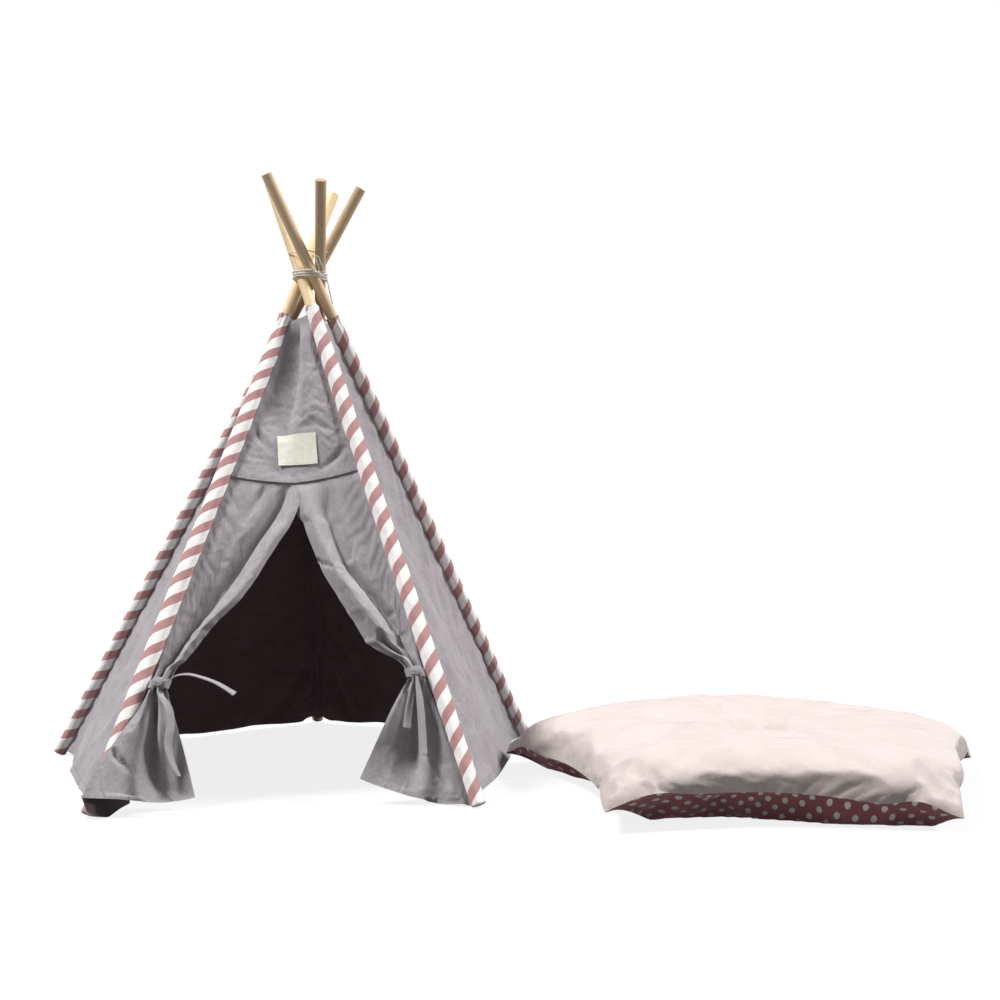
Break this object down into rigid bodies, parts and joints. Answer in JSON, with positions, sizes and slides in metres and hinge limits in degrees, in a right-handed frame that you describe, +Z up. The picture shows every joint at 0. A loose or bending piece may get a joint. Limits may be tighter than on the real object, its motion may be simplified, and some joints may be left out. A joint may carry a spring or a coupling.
{
  "type": "cat teepee bed",
  "caption": "Fabric teepee bed for a cat: lashed wooden poles in striped sleeves, tied-back front curtains and a loose tufted cushion.",
  "frame": {"origin": "on the floor, in the middle of the footprint that the tent and its cushion share", "axes": "+Z up; -Y to the front, where the curtains open; +X to the right as seen from the front, from the tent towards the loose cushion"},
  "size_m": [1.1059, 0.7651, 0.7168],
  "materials": {
    "pine": "satin",
    "striped_cotton": "matte",
    "grey_canvas": "matte",
    "cream_cotton": "matte",
    "white_cord": "matte",
    "pale_pink_twill": "matte",
    "dotted_plum_cotton": "matte",
    "fibre_filling": "matte"
  },
  "bodies": {
    "lashing": {"lashing_winding": "white_cord", "lashing_knot": "white_cord", "lashing_tail": "white_cord", "lashing_bow": "white_cord", "threading_cord": "white_cord"},
    "front_left": {"pole_front_left": "pine", "sleeve_front_left": "striped_cotton", "panel_front_upper": "grey_canvas", "label_patch": "cream_cotton", "curtain_left": "grey_canvas", "tie_left_band": "grey_canvas", "tie_left_knot": "grey_canvas", "tie_left_tail_side": "grey_canvas", "tie_left_tail_hanging": "grey_canvas"},
    "front_right": {"pole_front_right": "pine", "sleeve_front_right": "striped_cotton", "panel_right": "grey_canvas", "curtain_right": "grey_canvas", "tie_right_band": "grey_canvas", "tie_right_knot": "grey_canvas", "tie_right_tail_front": "grey_canvas", "tie_right_tail_back": "grey_canvas"},
    "right": {"pole_right": "pine", "sleeve_right": "striped_cotton", "panel_back_right": "grey_canvas"},
    "back": {"pole_back": "pine", "sleeve_back": "striped_cotton", "panel_back_left": "grey_canvas"},
    "left": {"pole_left": "pine", "sleeve_left": "striped_cotton", "panel_left": "grey_canvas"},
    "cushion": {"cushion_cover_top": "pale_pink_twill", "cushion_cover_bottom": "dotted_plum_cotton", "cushion_filling": "fibre_filling"}
  },
  "joints": [
    {"name": "fold_front_left", "type": "hinge", "parent": "lashing", "child": "front_left", "pos_m": [-0.24135, 0.04202, 0.593], "axis": [0.7431, -0.6691, 0], "range_deg": [0, 17], "deforming": ["panel_front_upper", "label_patch", "curtain_left"]},
    {"name": "fold_front_right", "type": "hinge", "parent": "lashing", "child": "front_right", "pos_m": [-0.24135, 0.02698, 0.593], "axis": [0.809, 0.5878, 0], "range_deg": [0, 17], "deforming": ["panel_right", "curtain_right"]},
    {"name": "fold_right", "type": "hinge", "parent": "lashing", "child": "right", "pos_m": [-0.22704, 0.02233, 0.593], "axis": [-0.454, 0.891, 0], "range_deg": [0, 17], "deforming": ["panel_back_right"]},
    {"name": "fold_back", "type": "hinge", "parent": "lashing", "child": "back", "pos_m": [-0.2182, 0.0345, 0.593], "axis": [-0.9998, 0.0175, 0], "range_deg": [0, 17], "deforming": ["panel_back_left", "threading_cord"]},
    {"name": "fold_left", "type": "hinge", "parent": "lashing", "child": "left", "pos_m": [-0.22704, 0.04667, 0.593], "axis": [-0.342, -0.9397, 0], "range_deg": [0, 17], "deforming": ["panel_left"]},
    {"name": "cushion_lift", "type": "slide", "parent": "lashing", "child": "cushion", "axis": [0, 0, 1], "range_m": [0, 0.3]}
  ],
  "couplings": [
    {"joint": "fold_front_right", "follows": "fold_front_left", "ratio": 1},
    {"joint": "fold_right", "follows": "fold_front_left", "ratio": 1},
    {"joint": "fold_back", "follows": "fold_front_left", "ratio": 1},
    {"joint": "fold_left", "follows": "fold_front_left", "ratio": 1}
  ]
}
